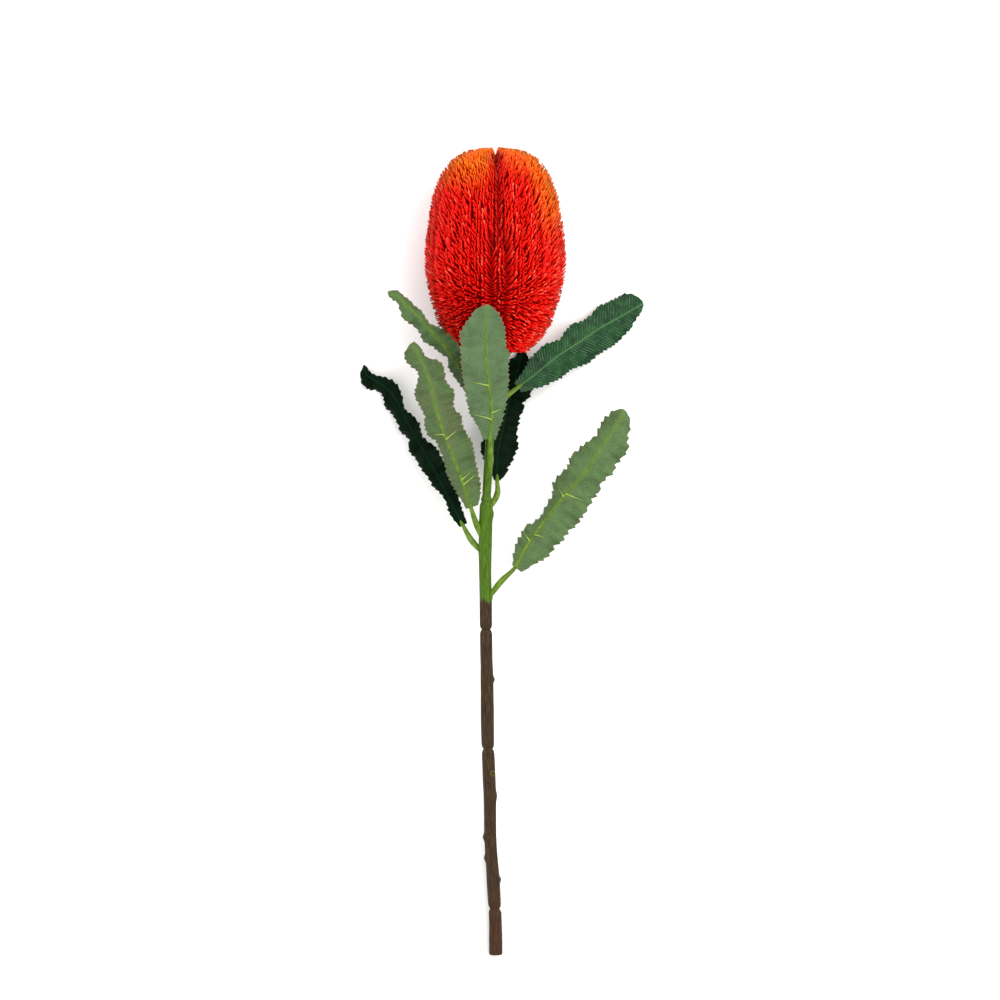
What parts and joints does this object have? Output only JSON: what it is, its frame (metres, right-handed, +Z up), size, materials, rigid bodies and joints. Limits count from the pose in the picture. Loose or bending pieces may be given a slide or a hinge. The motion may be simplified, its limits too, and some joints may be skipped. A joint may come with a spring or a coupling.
{
  "type": "banksia flower",
  "caption": "Cut banksia flower lying down: an oval head of upright red florets on a slender woody stem, with saw-toothed leaves below the head.",
  "frame": {"origin": "middle of the part's footprint, at the height of the table it lies on", "axes": "+Y along the stem from its cut end to the flower head, +Z up from the table, +X across the stem"},
  "size_m": [0.1984, 0.5668, 0.0977],
  "materials": {
    "stem": "matt bark, green and waxy near the flower",
    "florets": "soft sheen",
    "leaves": "waxy above, matt and downy below"
  },
  "bodies": {
    "root": {"stem": "stem", "floret_row_01": "florets", "floret_row_02": "florets", "floret_row_03": "florets", "floret_row_04": "florets", "floret_row_05": "florets", "floret_row_06": "florets", "floret_row_07": "florets", "floret_row_08": "florets", "floret_row_09": "florets", "floret_row_10": "florets", "floret_row_11": "florets", "floret_row_12": "florets", "floret_row_13": "florets", "floret_row_14": "florets", "floret_row_15": "florets", "floret_row_16": "florets", "floret_row_17": "florets", "floret_row_18": "florets", "floret_row_19": "florets", "floret_row_20": "florets", "floret_row_21": "florets", "floret_row_22": "florets", "floret_row_23": "florets", "floret_row_24": "florets", "leaf_front": "leaves", "leaf_left_front": "leaves", "leaf_left_upper": "leaves", "leaf_right_front": "leaves", "leaf_left_rear": "leaves", "leaf_rear": "leaves", "leaf_right_upper": "leaves"}
  },
  "joints": []
}
